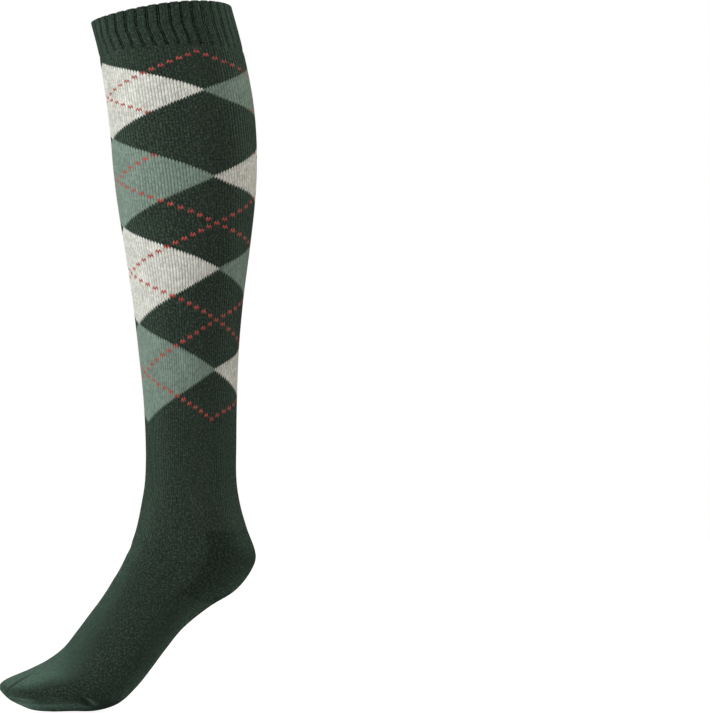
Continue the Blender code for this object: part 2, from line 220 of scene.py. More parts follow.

# Painted shade of the cuff's furrows, from first at start to last at end. start and end are shares of a rib
# from its crown, or turns from the calf. The rib's sides and furrows are drawn darker, the strand in a furrow
# lighter, and the furrows paler at the stretched calf and at the shin, as painted light where the closed ribs
# face the lamp.
ShadeRow = namedtuple("ShadeRow", "start end first last")
RIB_SIDE = ShadeRow(0.35, 0.39, 1.0, 0.12)
FURROW_STRAND = ShadeRow(0.43, 0.47, 0.0, 0.75)
CALF_STRETCHED = ShadeRow(0.16, 0.30, 0.65, 0.0)
SHIN_SHADE_LIFT = ShadeRow(0.41, 0.48, 0.0, 0.85)

# Form of a stitch. Its heights are shares of the stitch relief.
STRAND_POWER = 0.6
STRAND_HEIGHT = (0.55, 0.45)
WALE_EDGE_POWER = 3.0
GROOVE_HALF = 0.22          # groove down the middle of a wale, as a share of half its width
GROOVE_SOFT = 0.1
GROOVE_DEPTH = 1.6
FUZZ_RISE = 0.25
BUMP_STRENGTH = 0.85
INSIDE_RELIEF = 0.8         # share of the stitch relief on the inside

YARN_FINISH = {
    "Roughness": 0.9,
    "Specular IOR Level": 0.05,
    "Sheen Weight": 0.24,
    "Sheen Roughness": 0.30,
    "Sheen Tint": (0.58, 1.0, 0.78, 1.0),
}

# Soft lamps, placed from the sock's middle. share is of the key's power.
LampRow = namedtuple("LampRow", "name offset share tint")
LAMP_ROWS = (
    LampRow("shin_light", (-2.7, -0.5, 0.20), 1.0, (1.0, 1.0, 1.0)),
    LampRow("front_light", (-0.9, -2.4, 1.2), 0.24, (1.0, 1.0, 1.0)),
    LampRow("calf_light", (2.1, -0.7, 1.2), 0.46, (1.0, 0.94, 0.87)),
)
LAMP_SIZE = 1.0
SOCK_MIDDLE = (0.0115, 0.0, -0.2728)
FLOOR_GAP = 0.0012          # space between the toes and the floor
FLOOR_RADIUS = 1.6
FLOOR_GLOW = 0.94           # light that the floor itself shows to the camera
FLOOR_FINISH = {
    "Base Color": (0.24, 0.24, 0.24, 1.0),
    "Emission Color": (1.0, 1.0, 1.0, 1.0),
    "Roughness": 0.95,
    "Specular IOR Level": 0.1,
}
SKY_TINT = (1.0, 0.98, 0.95, 1.0)


def length(name, description, default):
    """A size for the panel, in metres."""
    return bpy.props.FloatProperty(name=name, description=description, default=default, unit="LENGTH")


def angle(name, description, degrees):
    """An angle for the panel."""
    return bpy.props.FloatProperty(
        name=name, description=description, default=math.radians(degrees), subtype="ANGLE")


def yarn(name, description, default):
    """A yarn's colour for the panel."""
    return bpy.props.FloatVectorProperty(
        name=name, description=description, size=3, subtype="COLOR", default=default)


class SockSizes(bpy.types.PropertyGroup):
    """Sizes of the sock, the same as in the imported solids."""

    leg_length: length("Leg Length", "Mouth to the bend of the ankle", 0.410)
    leg_sway: length("Leg Sway", "How far the ankle stands behind the mouth", 0.0255)
    calf_depth: length("Calf Depth", "Shin to calf at the fullest place", 0.1170)
    calf_width: length("Calf Width", "Side to side at the calf", 0.110)
    ankle_depth: length("Ankle Depth", "Front to back at the narrowest place", 0.0718)
    ankle_width: length("Ankle Width", "Side to side at the narrowest place", 0.0620)
    heel_span: length("Heel Span", "Bend of the ankle to the back of the heel", 0.1030)
    heel_dip: angle("Heel Dip", "How far that line falls", 12.6)
    heel_width: length("Heel Width", "Across the heel", 0.0640)
    foot_length: length("Foot Length", "Heel to toes along the foot", 0.2235)
    foot_slope: angle("Foot Slope", "How far the foot points down", 42)
    instep_height: length("Instep Height", "Sole to instep", 0.0690)
    ball_width: length("Ball Width", "Across the toe joints", 0.0900)
    mouth_rise: length("Mouth Rise", "How far the rim stands higher at the sides", 0.0030)
    rise_reach: length("Rise Reach", "How far down the leg that is felt", 0.0850)
    cuff_height: length("Cuff Height", "Height of the ribbed band", 0.0330)
    heel_run: length("Heel Run", "Length of the heel pocket along the ankle", 0.0580)
    toe_run: length("Toe Run", "Length of the toe cap", 0.0560)
    cuff_wall: length("Cuff Wall", "Thickness of the ribbed knit", 0.0024)
    leg_wall: length("Leg Wall", "Thickness of the leg's knit", 0.0016)
    foot_wall: length("Foot Wall", "Thickness of the foot's knit", 0.0018)
    toe_wall: length("Toe Wall", "Thickness of the toe's and the heel's knit", 0.0020)


class KnitSettings(bpy.types.PropertyGroup):
    """How the sock is knitted."""

    wales: bpy.props.IntProperty(
        name="Wales", description="Columns of stitches round the sock", default=144, min=24)
    ribs: bpy.props.IntProperty(
        name="Ribs", description="Ribs round the cuff", default=38, min=6)
    rib_depth: length("Rib Depth", "Furrow between two ribs", 0.0010)
    rib_slant: length("Rib Slant", "How far the ribs lean round the leg above and below their kink", 0.0065)
    wale_relief: length("Wale Relief", "Height of a column of stitches", 0.00030)
    stitch_relief: length("Stitch Relief", "Height of one strand", 0.00045)
    course_pitch: length("Course Pitch", "Height of a stitch below the pattern", 0.00106)
    diamond: bpy.props.IntProperty(
        name="Diamond", description="Half a diamond in wales and in courses", default=36, min=6)
    diamonds_down: bpy.props.IntProperty(
        name="Diamonds Down", description="Coloured diamonds below each other", default=4, min=1)


class YarnColours(bpy.types.PropertyGroup):
    """Colours of the yarns."""

    ground: yarn("Ground", "Dark green of the sock", (0.0200, 0.0335, 0.0245))
    white: yarn("White", "White of the diamonds", (0.665, 0.665, 0.608))
    grey: yarn("Grey", "Grey green of the diamonds", (0.195, 0.262, 0.217))
    red: yarn("Red", "Red of the dotted lines", (0.45, 0.075, 0.065))
    flecks: yarn("Flecks", "Light fibres in the yarn", (0.033, 0.044, 0.034))
    float_tint: yarn("Floats", "Tint of loose strands between the wales", (0.055, 0.030, 0.022))


class StudioSettings(bpy.types.PropertyGroup):
    """Camera and light."""

    azimuth: angle("Azimuth", "Camera's turn towards the toes", 18)
    distance: length("Distance", "Camera to the sock", 1.6106)
    view_angle: angle("View Angle", "Width of the view", 20)
    aim_off: angle("Aim Off", "How far the camera looks past the sock", 5.11)
    backdrop: bpy.props.FloatProperty(
        name="Backdrop", description="Brightness of the white backdrop", default=1.0)
    fill: bpy.props.FloatProperty(
        name="Fill", description="Strength of the even light from all round", default=0.26)
    key: bpy.props.FloatProperty(
        name="Key", description="Power of the soft light on the shin side", default=83.0, unit="POWER")


def mix(low, high, share):
    """Goes a share of the way from low to high."""
    return low + (high - low) * share


def smooth(share):
    """Eases a share in and out between 0 and 1."""
    share = np.clip(share, 0.0, 1.0)
    return share * share * (3 - 2 * share)


class Form:
    """The smooth outer surface of the sock, read by length along it and by turn round it."""

    def __init__(self, sizes):
        self.sizes = sizes
        legs = self.leg_sections()
        feet = self.foot_sections(legs[-1][0:2])
        self.values = np.array(legs + feet)
        middles = (self.values[:, 0:2] + self.values[:, 2:4]) / 2
        steps = np.linalg.norm(np.diff(middles, axis=0), axis=1)
        self.places = np.concatenate(([0.0], np.cumsum(steps)))
        self.length = self.places[-1]
        self.ankle = self.places[len(legs) - 1]
        slopes = np.zeros_like(self.values)
        slopes[1:-1] = (self.values[2:] - self.values[:-2]) / (self.places[2:] - self.places[:-2])[:, None]
        slopes[0] = (self.values[1] - self.values[0]) / (self.places[1] - self.places[0])
        slopes[-1] = (self.values[-1] - self.values[-2]) / (self.places[-1] - self.places[-2])
        self.slopes = slopes

    def leg_sections(self):
        sizes = self.sizes
        sections = []
        for row in LEG_ROWS:
            depth = mix(sizes.ankle_depth, sizes.calf_depth, row.full_depth)
            width = mix(sizes.ankle_width, sizes.calf_width, row.full_width)
            centre = np.array((row.back * sizes.leg_sway, -row.down * sizes.leg_length))
            tilt = math.radians(row.tilt)
            reach = np.array((math.cos(tilt), math.sin(tilt))) * depth / 2
            sections.append([*(centre - reach), *(centre + reach), width / 2, width / 2, *LEG_SHAPE])
        return sections

    def foot_sections(self, bend):
        sizes = self.sizes
        forward = np.array((-math.cos(sizes.foot_slope), -math.sin(sizes.foot_slope)))
        upward = np.array((-math.sin(sizes.foot_slope), math.cos(sizes.foot_slope)))
        heel = bend + np.array((math.cos(sizes.heel_dip), -math.sin(sizes.heel_dip))) * sizes.heel_span
        bend_along = (bend - heel) @ forward
        sections = []
        for rows, unit in ((HEEL_ROWS, sizes.heel_width), (FOOT_ROWS, sizes.ball_width)):
            for row in rows:
                top_along = mix(bend_along, sizes.foot_length, row.top)
                front = heel + forward * top_along + upward * row.crown * sizes.instep_height
                back = heel + forward * row.sole * sizes.foot_length + upward * row.lift * sizes.instep_height
                half = row.width * unit / 2
                sway = row.sway * sizes.ball_width
                sections.append([*front, *back, half - sway, half + sway, row.belly, row.top_round,
                                 row.sole_round])
        return sections

    def sections(self, places):
        """Both ends of the section, its half widths, its belly and its rounds at each place."""
        index = np.clip(np.searchsorted(self.places, places, side="right") - 1, 0, len(self.places) - 2)
        span = (self.places[index + 1] - self.places[index])[:, None]
        t = (places[:, None] - self.places[index][:, None]) / span
        value = (2 * t ** 3 - 3 * t ** 2 + 1) * self.values[index]
        value += (3 * t ** 2 - 2 * t ** 3) * self.values[index + 1]
        value += (t ** 3 - 2 * t ** 2 + t) * span * self.slopes[index]
        value += (t ** 3 - t ** 2) * span * self.slopes[index + 1]
        return value

    def points(self, places, turns):
        """Points for each place and each turn, where turns has one row for each place."""
        sections = self.sections(places)
        angles = np.linspace(0.0, math.pi, FINE_POINTS + 1)
        upper = angles <= math.pi / 2
        result = np.zeros((len(places), turns.shape[1], 3))
        for row, section in enumerate(sections):
            front, back = section[0:2], section[2:4]
            span = np.linalg.norm(back - front)
            axis = (back - front) / span
            rounding = np.where(upper, section[7], section[8])
            reach = np.where(upper, span * section[6], span * (1 - section[6]))
            level = np.sign(np.cos(angles)) * np.abs(np.cos(angles)) ** (2 / rounding)
            along = span * section[6] - level * reach
            bulge = np.abs(np.sin(angles)) ** (2 / rounding)
            turn = turns[row] % 1.0
            for side, half_width, chosen in ((-1.0, section[4], turn <= 0.5), (1.0, section[5], turn > 0.5)):
                spread = side * half_width * bulge
                steps = np.hypot(np.diff(along), np.diff(spread))
                lengths = np.concatenate(([0.0], np.cumsum(steps)))
                share = turn[chosen] * 2 if side < 0 else (1 - turn[chosen]) * 2
                wanted = share * lengths[-1]
                near = np.interp(wanted, lengths, along)
                result[row, chosen, 0] = front[0] + axis[0] * near
                result[row, chosen, 1] = np.interp(wanted, lengths, spread)
                result[row, chosen, 2] = front[1] + axis[1] * near
        fade = np.maximum(0.0, 1 - places / self.sizes.rise_reach)[:, None]
        result[:, :, 2] += self.sizes.mouth_rise * fade * np.sin(2 * math.pi * turns) ** 2
        return result

    def read(self, places, column):
        """One column of the pattern's table, at each place along the leg."""
        known = [row.down * self.ankle for row in COURSE_ROWS]
        return np.interp(places, known, [getattr(row, column) for row in COURSE_ROWS])

    def stitches(self, places, turns, wales):
        """Wale and course of each point, which shift between the shin, the side and the calf."""
        from_shin = np.minimum(turns, 1 - turns)[None, :]
        shin = 1 - smooth(from_shin / SHIN_REACH)
        calf = smooth((from_shin - CALF_START) / CALF_REACH)
        crept = [self.read(places, column)[:, None] for column in ("side", "shin", "calf")]
        creep = crept[0] * (1 - shin - calf) + crept[1] * shin + crept[2] * calf
        raised = self.read(places, "raised")[:, None] * calf - SHIN_SAG * shin
        grid = np.zeros((len(places), len(turns), 2))
        grid[:, :, 0] = (turns[None, :] - creep) * wales
        grid[:, :, 1] = self.read(places, "course")[:, None] + raised
        return grid


def surface_normals(points, closed):
    """Outward normals of a grid of points."""
    down = np.gradient(points, axis=0)
    if closed:
        along = np.roll(points, -1, axis=1) - np.roll(points, 1, axis=1)
    else:
        along = np.gradient(points, axis=1)
    normals = np.cross(down, along)
    lengths = np.linalg.norm(normals, axis=2, keepdims=True)
    return normals / np.maximum(lengths, 1e-12)


def fold_relief(form, places, turns):
    """Height of the ridges and creases at each point."""
    sizes = form.sizes
    height = np.zeros_like(turns)
    for row in FOLD_ROWS:
        down = places[:, None] - row.at * form.length
        about = ((turns - row.round + 0.5) % 1.0 - 0.5) * 2 * (sizes.ball_width + sizes.instep_height)
        direction = np.array((row.along, row.across)) * sizes.ball_width
        half_line = np.linalg.norm(direction) / 2
        direction = direction / np.linalg.norm(direction)
        lengthwise = down * direction[0] + about * direction[1]
        sideways = -down * direction[1] + about * direction[0]
        fade = np.maximum(0.0, 1 - (lengthwise / half_line) ** 2)
        height += row.rise * sizes.toe_wall * fade * np.exp(-(sideways / (row.half * sizes.ball_width)) ** 2)
    return height


def shell_mesh(name, outer, inner, stitches, closed, missing=None, tip=None):
    """Closed body between two grids of points, with the stitch map on its faces.

    outer and inner have a row of points for each place. stitches gives the wale and the course of each
    point, with one more column than the points where the grid closes round. missing marks the faces that
    are left out, and tip closes the last row to one point on each side.
    """
    rows, columns = outer.shape[:2]
    wide = columns if closed else columns - 1
    present = np.ones((rows - 1, wide), bool) if missing is None else ~missing
    row, column = np.nonzero(present)
    after = (column + 1) % columns
    after_map = column + 1
    base = rows * columns

    def corners(row_a, column_a, map_a):
        return row_a * columns + column_a, stitches[row_a, map_a]

    quads = []
    maps = []
    square = [corners(row, column, column), corners(row + 1, column, column),
              corners(row + 1, after, after_map), corners(row, after, after_map)]
    outer_quads = np.stack([item[0] for item in square], axis=1)
    outer_maps = np.stack([item[1] for item in square], axis=1)
    quads.append(outer_quads)
    maps.append(outer_maps)
    quads.append(outer_quads[:, ::-1] + base)
    maps.append(outer_maps[:, ::-1])
    padded = np.zeros((rows + 1, wide + 2), bool)
    padded[1:-1, 1:-1] = present
    if closed:
        padded[1:-1, 0] = present[:, -1]
        padded[1:-1, -1] = present[:, 0]
    neighbours = (
        (padded[:-2, 1:-1], 3, 0),
        (padded[1:-1, :-2], 0, 1),
        (padded[2:, 1:-1], 1, 2),
        (padded[1:-1, 2:], 2, 3),
    )
    for neighbour, first, second in neighbours:
        if tip is not None and first == 1:
            continue
        edge = ~neighbour[row, column]
        start = outer_quads[edge, first]
        end = outer_quads[edge, second]
        quads.append(np.stack([end, start, start + base, end + base], axis=1))
        start_map = outer_maps[edge, first]
        end_map = outer_maps[edge, second]
        maps.append(np.stack([end_map, start_map, start_map, end_map], axis=1))
    vertices = [outer.reshape(-1, 3), inner.reshape(-1, 3)]
    faces = np.concatenate(quads)
    face_maps = np.concatenate(maps).reshape(-1, 2)
    sizes_of_faces = np.full(len(faces), 4)
    loops = faces.reshape(-1)
    if tip is not None:
        vertices.append(np.array(tip))
        last = (rows - 1) * columns + np.arange(columns)
        following = (rows - 1) * columns + (np.arange(columns) + 1) % columns
        point = np.full(columns, 2 * base)
        outer_fan = np.stack([last, point, following], axis=1)
        inner_fan = np.stack([following + base, point + 1, last + base], axis=1)
        near = stitches[-1, :-1]
        far = stitches[-1, 1:]
        tip_map = (near + far) / 2 + (0, 1)
        loops = np.concatenate((loops, outer_fan.reshape(-1), inner_fan.reshape(-1)))
        fan_maps = np.stack([near, tip_map, far], axis=1).reshape(-1, 2)
        back_maps = np.stack([far, tip_map, near], axis=1).reshape(-1, 2)
        face_maps = np.concatenate((face_maps, fan_maps, back_maps))
        sizes_of_faces = np.concatenate((sizes_of_faces, np.full(2 * columns, 3)))
    inside = np.zeros(len(sizes_of_faces), np.int32)
    count = len(outer_quads)
    inside[count:2 * count] = 1
    if tip is not None:
        inside[-columns:] = 1
    return write_mesh(name, np.concatenate(vertices), loops, sizes_of_faces, face_maps, inside)


def write_mesh(name, points, loops, sizes_of_faces, face_maps, inside):
    """Mesh with the stitch map. inside is 1 for the faces that take the second material."""
    mesh = bpy.data.meshes.new(name)
    mesh.vertices.add(len(points))
    mesh.vertices.foreach_set("co", points.astype(np.float32).reshape(-1))
    mesh.loops.add(len(loops))
    mesh.loops.foreach_set("vertex_index", loops.astype(np.int32))
    mesh.polygons.add(len(sizes_of_faces))
    starts = np.concatenate(([0], np.cumsum(sizes_of_faces)[:-1]))
    mesh.polygons.foreach_set("loop_start", starts.astype(np.int32))
    mesh.polygons.foreach_set("loop_total", sizes_of_faces.astype(np.int32))
    mesh.polygons.foreach_set("material_index", inside)
    mesh.update(calc_edges=True)
    layer = mesh.uv_layers.new(name=STITCH_MAP)
    layer.data.foreach_set("uv", face_maps.astype(np.float32).reshape(-1))
    mesh.validate()
    mesh.shade_smooth()
    mesh.set_sharp_from_angle(angle=SHARP_ANGLE)
    return mesh


class Wiring:
    """Joins shader nodes: numbers and sockets go in, and a socket comes out."""

    def __init__(self, material):
        material.use_nodes = True
        self.tree = material.node_tree
        self.shader = self.tree.nodes["Principled BSDF"]

    def node(self, kind, inputs=(), **settings):
        node = self.tree.nodes.new(kind)
        for name, value in settings.items():
            setattr(node, name, value)
        for place, value in enumerate(inputs):
            self.feed(node.inputs[place], value)
        return node.outputs[0]

    def feed(self, socket, value):
        if value is None:
            return
        if isinstance(value, bpy.types.NodeSocket):
            self.tree.links.new(value, socket)
        else:
            socket.default_value = value

    def math(self, operation, *values):
        return self.node("ShaderNodeMath", values, operation=operation)

    def add(self, first, second):
        return self.math("ADD", first, second)

    def subtract(self, first, second):
        return self.math("SUBTRACT", first, second)

    def multiply(self, first, second):
        return self.math("MULTIPLY", first, second)

    def less(self, first, second):
        return self.math("LESS_THAN", first, second)

    def pingpong(self, value, scale):
        return self.math("PINGPONG", value, scale)

    def scale(self, value, factor, added):
        return self.add(self.multiply(value, factor), added)

    def ease(self, value, row, unit=1.0):
        """Goes smoothly from the row's first to its last, between its start and end in units."""
        return self.node("ShaderNodeMapRange",
                         (value, row.start * unit, row.end * unit, row.first, row.last),
                         interpolation_type="SMOOTHSTEP")

    def noise(self, wale, course, row):
        place = self.vector(self.multiply(wale, row.across), self.multiply(course, row.down))
        return self.node("ShaderNodeTexNoise", (place, None, 1.0, row.detail, row.rough),
                         noise_dimensions="2D")

    def blend(self, share, first, second, kind="MIX"):
        node = self.tree.nodes.new("ShaderNodeMix")
        node.data_type = "RGBA"
        node.blend_type = kind
        self.feed(node.inputs["Factor"], share)
        self.feed(node.inputs["A"], first)
        self.feed(node.inputs["B"], second)
        return node.outputs["Result"]

    def vector(self, x, y):
        return self.node("ShaderNodeCombineXYZ", (x, y))


def stitch_cells(wiring):
    """Which stitch a point lies in, and where in it, for stitches that stand like a capital lambda."""
    coordinates = wiring.node("ShaderNodeUVMap", uv_map=STITCH_MAP)
    split = wiring.tree.nodes.new("ShaderNodeSeparateXYZ")
    wiring.feed(split.inputs[0], coordinates)
    wale, course = split.outputs[0], split.outputs[1]
    across = wiring.subtract(wiring.math("FRACT", wale), 0.5)
    leg = wiring.multiply(wiring.math("ABSOLUTE", across), 2.0)
    row = wiring.subtract(wiring.add(course, 0.5), wiring.multiply(leg, 2.0))
    return {
        "wale": wale,
        "course": course,
        "leg": leg,
        "strand": wiring.math("FRACT", row),
        "column": wiring.math("FLOOR", wale),
        "row": wiring.math("FLOOR", row),
        "row_run": row,
    }


def argyle(wiring, cells, knit, colours):
    """Colour of each stitch: diamonds, and dotted lines that cross in all of them but one plain one."""
    half = float(knit.diamond)
    column = wiring.add(cells["column"], 0.5)
    row = wiring.add(cells["row"], 0.5)
    beside = wiring.pingpong(column, half)
    height = wiring.pingpong(row, half)
    diamond = wiring.less(beside, wiring.add(height, DIAMOND_EDGE))
    bottom = 2 * half * knit.diamonds_down
    inside = wiring.multiply(wiring.math("GREATER_THAN", row, 0.0), wiring.less(row, bottom))
    diamond = wiring.multiply(diamond, inside)
    level = wiring.math("FLOOR", wiring.multiply(row, 0.5 / half))
    stack = wiring.math("FLOOR", wiring.multiply(wiring.add(column, half), 0.5 / half))
    odd = wiring.math("FLOORED_MODULO", wiring.add(level, stack), 2.0)
    filled = wiring.blend(odd, (*colours.white, 1.0), (*colours.grey, 1.0))
    colour = wiring.blend(diamond, (*colours.ground, 1.0), filled)
    dot_column = wiring.math("FLOOR", wiring.scale(column, 1 / DOT_STEP, 0.5))
    dot_row = wiring.math("FLOOR", wiring.scale(row, 1 / DOT_STEP, 0.5))
    from_dot = wiring.math("ABSOLUTE", wiring.subtract(column, wiring.multiply(dot_column, DOT_STEP)))
    lines = []
    for operation in ("ADD", "SUBTRACT"):
        both = wiring.math(operation, dot_column, dot_row)
        off_line = wiring.pingpong(wiring.subtract(both, half / DOT_STEP), half / DOT_STEP)
        lines.append(wiring.less(off_line, 0.5))
    dotted = wiring.math("MAXIMUM", *lines)
    dotted = wiring.multiply(dotted, wiring.less(from_dot, 1.0))
    dot_middle = wiring.subtract(row, wiring.multiply(dot_row, DOT_STEP))
    dotted = wiring.multiply(dotted, wiring.math("GREATER_THAN", dot_middle, -1.0))
    to_plain = wiring.add(wiring.math("ABSOLUTE", wiring.subtract(column, half)),
                          wiring.math("ABSOLUTE", wiring.subtract(row, 2 * half)))
    dotted = wiring.multiply(dotted, wiring.math("GREATER_THAN", to_plain, half - 1.0))
    long_enough = wiring.multiply(wiring.math("GREATER_THAN", row, -1.0), wiring.less(row, bottom + 1.0))
    dotted = wiring.multiply(dotted, long_enough)
    return wiring.blend(dotted, colour, (*colours.red, 1.0))


def painted_furrow_shade(wiring, cells, knit):
    """Painted shade on the ribs' sides and in their furrows, lighter on the strand, paler at the stretched
    calf and the lit shin.
    """
    in_rib = wiring.math("FRACT", wiring.multiply(cells["wale"], knit.ribs / knit.wales))
    from_crown = wiring.math("ABSOLUTE", wiring.subtract(in_rib, 0.5))
    from_calf = wiring.math("ABSOLUTE", wiring.subtract(cells["wale"], knit.wales / 2))
    furrow = wiring.math("MAXIMUM", wiring.ease(from_crown, RIB_SIDE), wiring.ease(from_crown, FURROW_STRAND))
    paler = wiring.math("MAXIMUM", wiring.ease(from_calf, CALF_STRETCHED, knit.wales),
                        wiring.ease(from_calf, SHIN_SHADE_LIFT, knit.wales))
    return wiring.math("MAXIMUM", furrow, paler)


def stitch_rounds(wiring, cells):
    """Roundness of the strands and of the wales, 0 at their edges and 1 on their crowns."""
    strand = wiring.math("SINE", wiring.multiply(cells["strand"], math.pi))
    strand = wiring.math("POWER", strand, STRAND_POWER)
    wale = wiring.subtract(1.0, wiring.math("POWER", cells["leg"], WALE_EDGE_POWER))
    return strand, wale


def stitch_height(wiring, cells, strand, wale):
    """Rounded stitches with a groove down the middle of each wale, and fuzz over them."""
    middle = wiring.math("SMOOTH_MAX", wiring.subtract(GROOVE_HALF, cells["leg"]), 0.0, GROOVE_SOFT)
    groove = wiring.multiply(middle, GROOVE_DEPTH)
    body = wiring.multiply(wale, wiring.scale(strand, *STRAND_HEIGHT))
    fuzz = wiring.noise(cells["wale"], cells["course"], FUZZ)
    return wiring.add(wiring.subtract(body, groove), wiring.multiply(fuzz, FUZZ_RISE))


def stitch_tone_and_painted_shade(wiring, cells, fibres, strand, wale):
    """Stitches, fibres and dye that differ a little, and painted shade at the edges of strands and wales."""
    one_stitch = wiring.node("ShaderNodeTexWhiteNoise", (wiring.vector(cells["column"], cells["row"]),),
                             noise_dimensions="2D")
    cloud = wiring.noise(cells["wale"], cells["course"], CLOUDS)
    # Painted shade: the edges of the wales and strands are drawn darker.
    edges = wiring.multiply(wiring.scale(wale, *WALE_PAINTED_SHADE), wiring.scale(strand, *STRAND_PAINTED_SHADE))
    shade = wiring.scale(one_stitch, *STITCH_SHADE)
    for change in (wiring.scale(fibres, *FIBRE_SHADE), wiring.scale(cloud, *CLOUD_SHADE), edges):
        shade = wiring.multiply(shade, change)
    return shade


def yarn_material(name, knit, colours, depth=1.0, patterned=False, ribbed=False, inside=False):
    """Knitted wool blend: stitches, fibres, uneven dye, and gaps between the wales darkened by loose strands
    and by painted shade.
    """
    material = bpy.data.materials.new(name)
    wiring = Wiring(material)
    cells = stitch_cells(wiring)
    fibres = wiring.noise(cells["wale"], cells["row_run"], FIBRES)
    strand, wale = stitch_rounds(wiring, cells)
    if patterned:
        colour = argyle(wiring, cells, knit, colours)
    else:
        # depth scales the plain ground yarn: painted shade on the heel, and a lift against the cuff's painted
        # furrow shade.
        colour = (*(value * depth for value in colours.ground), 1.0)
    shade = stitch_tone_and_painted_shade(wiring, cells, fibres, strand, wale)
    # The cuff's furrows get painted shade.
    if ribbed:
        shade = wiring.multiply(shade, painted_furrow_shade(wiring, cells, knit))
    shade_colour = wiring.node("ShaderNodeCombineColor", (shade, shade, shade))
    colour = wiring.blend(1.0, colour, shade_colour, "MULTIPLY")
    flecks = wiring.noise(cells["wale"], cells["course"], FLECKS)
    fleck = wiring.node("ShaderNodeMapRange", (flecks, FLECK_START, FLECK_END, 0.0, 1.0))
    colour = wiring.blend(fleck, colour, (*colours.flecks, 1.0), "ADD")
    if patterned:
        gap = wiring.math("POWER", cells["leg"], GAP_POWER)
        tint = wiring.multiply(wiring.multiply(gap, fibres), FLOAT_SHARE)
        colour = wiring.blend(tint, colour, (*colours.float_tint, 1.0))
    wiring.feed(wiring.shader.inputs["Base Color"], colour)
    for socket, value in YARN_FINISH.items():
        wiring.shader.inputs[socket].default_value = value
    bump = wiring.tree.nodes.new("ShaderNodeBump")
    bump.inputs["Strength"].default_value = BUMP_STRENGTH
    bump.inputs["Distance"].default_value = knit.stitch_relief * (INSIDE_RELIEF if inside else 1.0)
    wiring.feed(bump.inputs["Height"], stitch_height(wiring, cells, strand, wale))
    wiring.feed(wiring.shader.inputs["Normal"], bump.outputs[0])
    return material


def settings(context):
    """The sock's sizes, knit and yarns, as the panel holds them."""
    return context.scene.sock_sizes, context.scene.sock_knit, context.scene.sock_yarns


def place_piece(context, mesh, node, knit, colours, **looks):
    """Put a knitted piece where its solid is, with its yarn outside and plain yarn inside."""
    mesh.materials.append(yarn_material(node + "_yarn", knit, colours, **looks))
    mesh.materials.append(yarn_material(node + "_yarn_inside", knit, colours, inside=True))
    piece = bpy.data.objects.new(mesh.name, mesh)
    context.scene.collection.objects.link(piece)
    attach(piece, "root")
    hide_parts(node)


def column_turns(rows, count):
    """Even turns round the sock, the same in each row."""
    return np.tile(np.arange(count) / count, (rows, 1))


def wall_sides(points, relief, wall, closed=True):
    """Outer and inner side of the knit, from the points of the smooth form."""
    normals = surface_normals(points, closed)
    return points + normals * relief[:, :, None], points - normals * wall


def wale_relief(stitches, knit):
    """Rounded column for each wale."""
    return knit.wale_relief * np.abs(np.sin(math.pi * stitches[:, :-1, 0])) ** WALE_POWER


def neck_relief(form, places, turns, knit):
    """Draws the knit in under the cuff, most between the ribs."""
    near = np.exp(-((places[:, None] - form.sizes.cuff_height) / NECK_REACH) ** 2)
    dimple = NECK_EVEN + (1 - NECK_EVEN) * np.cos(2 * math.pi * knit.ribs * turns)
    return -NECK_DEPTH * near * dimple


def rib_lean(sizes, knit, level, turns):
    """How far the ribs have leant round, away from their kink and most near the shin."""
    shin_side = 0.5 + 0.5 * np.cos(2 * math.pi * (turns - KINK_TURN))
    return knit.rib_slant * np.abs(level - RIB_KINK) * shin_side / (math.pi * sizes.calf_depth)


def rib_profile(knit, turns):
    """Height of the ribs, and a furrow that is 1 between them and 0 on them."""
    in_rib = (turns * knit.ribs) % 1.0
    from_strand = np.minimum(in_rib, 1 - in_rib)
    furrow = np.clip((FURROW_HALF - from_strand) / FURROW_SLOPE, 0, 1)
    strand = STRAND_RISE * np.exp(-(from_strand / STRAND_HALF) ** 2)
    crown = CROWN_RISE * (1 - ((in_rib - 0.5) / CROWN_HALF) ** 2) * (furrow < 1)
    stretched = smooth((STRETCH_START - np.abs(turns - 0.5)) / STRETCH_REACH)
    profile = knit.rib_depth * (crown - furrow + strand) * (1 - STRETCH_LOSS * stretched)
    return profile, furrow


class KnitCuff(bpy.types.Operator):
    """Knit the ribbed cuff"""

    bl_idname = "sock.knit_cuff"
    bl_label = "Knit Cuff"

    def execute(self, context):
        sizes, knit, colours = settings(context)
        form = Form(sizes)
        end = sizes.cuff_height
        places = np.concatenate((np.linspace(0, RIM_END, EDGE_RINGS),
                                 np.linspace(RIBS_START, end - RIBS_END, RIB_RINGS),
                                 np.linspace(end - HEM_START, end, EDGE_RINGS)))
        level = (places / end)[:, None]
        count = knit.ribs * RIB_POINTS
        turns = column_turns(len(places), count)
        points = form.points(places, turns + rib_lean(sizes, knit, level, turns))
        normals = surface_normals(points, True)
        profile, furrow = rib_profile(knit, turns)
        fade = np.clip((1 - level) / RIB_FADE, 0, 1) ** RIB_FADE_POWER
        rim = np.sqrt(1 - (1 - np.clip(places / RIM_ROUND, 0, 1)) ** 2)
        relief = profile * fade * mix(RIM_RELIEF, 1, rim)[:, None]
        relief += neck_relief(form, places, turns, knit)
        relief -= ((1 - rim) * sizes.cuff_wall / 2)[:, None]
        outer = points + normals * relief[:, :, None]
        outer[:, :, 2] -= SCALLOP_RISE * (furrow - 0.5) * np.exp(-places / SCALLOP_REACH)[:, None]
        wall = sizes.cuff_wall * rim + RIM_WALL
        inner = outer - normals * wall[:, None, None]
        stitches = np.zeros((len(places), count + 1, 2))
        stitches[:, :, 0] = np.arange(count + 1)[None, :] * knit.wales / count
        stitches[:, :, 1] = form.read(places, "course")[:, None]
        mesh = shell_mesh("cuff_knit", outer, inner, stitches, True)
        # depth 1.10 lightens the cuff's yarn to make up for its painted furrow shade.
        place_piece(context, mesh, "cuff", knit, colours, depth=1.10, ribbed=True)
        return {"FINISHED"}


